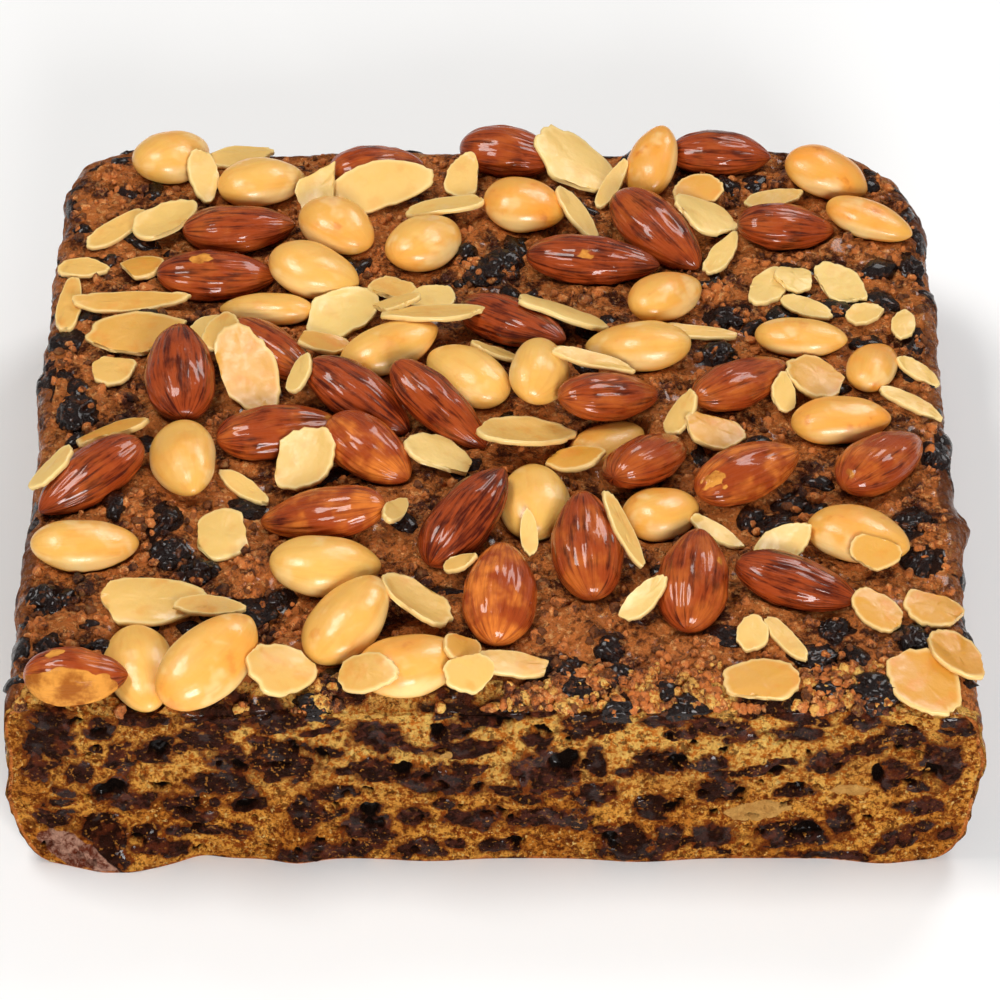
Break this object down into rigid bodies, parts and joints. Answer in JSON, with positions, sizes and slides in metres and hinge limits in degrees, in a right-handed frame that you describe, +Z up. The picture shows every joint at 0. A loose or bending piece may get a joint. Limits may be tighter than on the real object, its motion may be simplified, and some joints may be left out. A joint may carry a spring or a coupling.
{
  "type": "fruit cake slice",
  "caption": "Square cut of dark fruit cake with one cut face, three baked sides and a top of whole, blanched and flaked almonds.",
  "frame": {"origin": "middle of the underside of the whole, on the surface that it rests on", "axes": "+X to the right along the cut face, +Y from the cut face to the back, +Z up"},
  "size_m": [0.1838, 0.177, 0.0514],
  "materials": {
    "crumb": "matte, crumbly, with glossy dark fruit",
    "almond_skin": "glazed",
    "almond_kernel": "satin glaze"
  },
  "bodies": {
    "root": {"cake": "crumb", "skin_almond_01": "almond_skin", "skin_almond_02": "almond_skin", "skin_almond_03": "almond_skin", "skin_almond_04": "almond_skin", "skin_almond_05": "almond_skin", "skin_almond_06": "almond_skin", "skin_almond_07": "almond_skin", "skin_almond_08": "almond_skin", "skin_almond_09": "almond_skin", "skin_almond_10": "almond_skin", "skin_almond_11": "almond_skin", "skin_almond_12": "almond_skin", "skin_almond_13": "almond_skin", "skin_almond_14": "almond_skin", "skin_almond_15": "almond_skin", "skin_almond_16": "almond_skin", "skin_almond_17": "almond_skin", "skin_almond_18": "almond_skin", "skin_almond_19": "almond_skin", "skin_almond_20": "almond_skin", "skin_almond_21": "almond_skin", "skin_almond_22": "almond_skin", "skin_almond_23": "almond_skin", "skin_almond_24": "almond_skin", "skin_almond_25": "almond_skin", "skin_almond_26": "almond_skin", "skin_almond_27": "almond_skin", "skin_almond_28": "almond_skin", "blanched_almond_01": "almond_kernel", "blanched_almond_02": "almond_kernel", "blanched_almond_03": "almond_kernel", "blanched_almond_04": "almond_kernel", "blanched_almond_05": "almond_kernel", "blanched_almond_06": "almond_kernel", "blanched_almond_07": "almond_kernel", "blanched_almond_08": "almond_kernel", "blanched_almond_09": "almond_kernel", "blanched_almond_10": "almond_kernel", "blanched_almond_11": "almond_kernel", "blanched_almond_12": "almond_kernel", "blanched_almond_13": "almond_kernel", "blanched_almond_14": "almond_kernel", "blanched_almond_15": "almond_kernel", "blanched_almond_16": "almond_kernel", "blanched_almond_17": "almond_kernel", "blanched_almond_18": "almond_kernel", "blanched_almond_19": "almond_kernel", "blanched_almond_20": "almond_kernel", "blanched_almond_21": "almond_kernel", "blanched_almond_22": "almond_kernel", "blanched_almond_23": "almond_kernel", "blanched_almond_24": "almond_kernel", "blanched_almond_25": "almond_kernel", "blanched_almond_26": "almond_kernel", "blanched_almond_27": "almond_kernel", "blanched_almond_28": "almond_kernel", "blanched_almond_29": "almond_kernel"}
  },
  "joints": []
}
